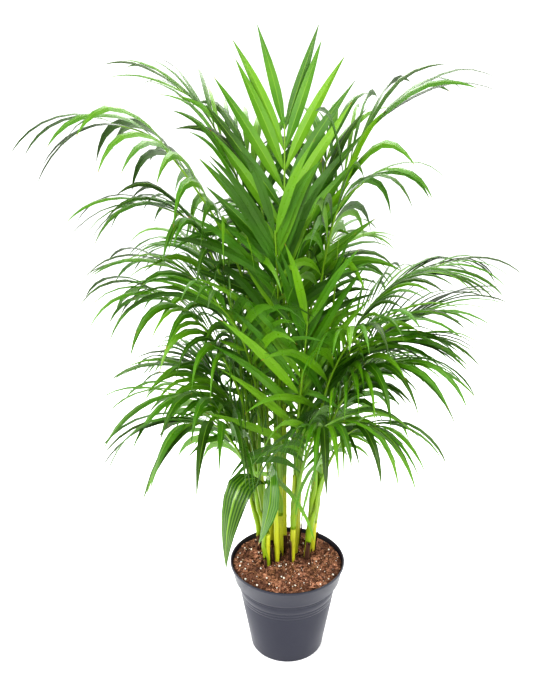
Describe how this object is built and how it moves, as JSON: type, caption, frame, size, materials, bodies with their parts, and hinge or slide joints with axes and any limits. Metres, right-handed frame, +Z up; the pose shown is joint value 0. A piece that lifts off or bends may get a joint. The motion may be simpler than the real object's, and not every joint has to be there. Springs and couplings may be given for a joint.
{
  "type": "potted areca palm",
  "caption": "Young feather-leaved palm: a clump of canes with arching fronds, rolled spears and early forked leaves, rooted in soil in a round tapered plastic nursery pot.",
  "frame": {"origin": "centre of the pot's flat underside, which stands on the floor", "axes": "+Z up along the pot's axis; the side with the early forked leaf faces -Y; +X to the right when that side is seen from the front"},
  "size_m": [0.804, 0.6564, 1.095],
  "materials": {
    "pot_plastic": "satin",
    "potting_soil": "matte",
    "cane": "satin",
    "leaf": "satin",
    "spear_leaf": "satin"
  },
  "bodies": {
    "root": {"pot": "pot_plastic", "potting_soil": "potting_soil", "cane_1": "cane", "cane_2": "cane", "cane_3": "cane", "cane_4": "cane", "cane_5": "cane", "cane_6": "cane", "cane_7": "cane", "cane_8": "cane", "cane_9": "cane", "cane_10": "cane", "cane_11": "cane", "cane_12": "cane", "cane_13": "cane", "cane_14": "cane", "cane_15": "cane", "cane_16": "cane", "spear_leaf_1": "spear_leaf", "spear_leaf_2": "spear_leaf", "spear_leaf_3": "spear_leaf", "spear_leaf_4": "spear_leaf", "spear_leaf_5": "spear_leaf", "early_leaf_1": "leaf", "early_leaf_2": "leaf", "frond_1": "leaf", "frond_2": "leaf", "frond_3": "leaf", "frond_4": "leaf", "frond_5": "leaf", "frond_6": "leaf", "frond_7": "leaf", "frond_8": "leaf", "frond_9": "leaf", "frond_10": "leaf", "frond_11": "leaf", "frond_12": "leaf", "frond_13": "leaf", "frond_14": "leaf", "frond_15": "leaf", "frond_16": "leaf", "frond_17": "leaf", "frond_18": "leaf", "frond_19": "leaf", "frond_20": "leaf", "frond_21": "leaf", "frond_22": "leaf", "frond_23": "leaf", "frond_24": "leaf", "frond_25": "leaf", "frond_26": "leaf", "frond_27": "leaf", "frond_28": "leaf", "frond_29": "leaf", "frond_30": "leaf", "frond_31": "leaf", "frond_32": "leaf", "frond_33": "leaf", "frond_34": "leaf"}
  },
  "joints": []
}
